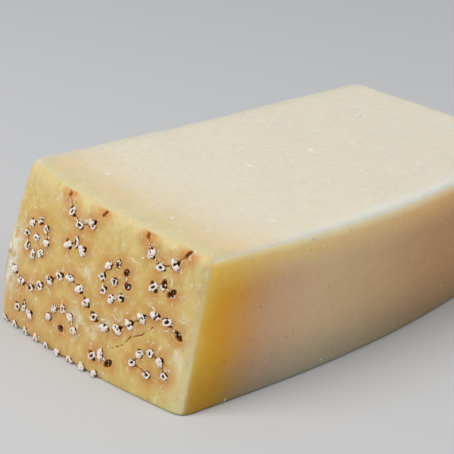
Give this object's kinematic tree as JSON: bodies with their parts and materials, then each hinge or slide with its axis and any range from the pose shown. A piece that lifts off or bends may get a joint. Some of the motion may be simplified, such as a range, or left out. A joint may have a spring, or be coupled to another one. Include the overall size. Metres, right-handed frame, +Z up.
{
  "type": "parmesan chunk",
  "caption": "Chunk of hard cheese cut from a wheel: bulging rind with a moulded pattern of pits at one end, smooth pale cut faces.",
  "frame": {"origin": "on the table, under the middle of the box that just holds the chunk", "axes": "+X from the rind to the far end, +Y towards the straight left side, +Z up from the table"},
  "size_m": [0.165, 0.0914, 0.0494],
  "materials": {
    "cheese": "waxy hard cheese: cream cut faces that turn amber towards a yellow-ochre rind with bloom-filled pits"
  },
  "bodies": {
    "root": {"cheese_chunk": "cheese"}
  },
  "joints": []
}
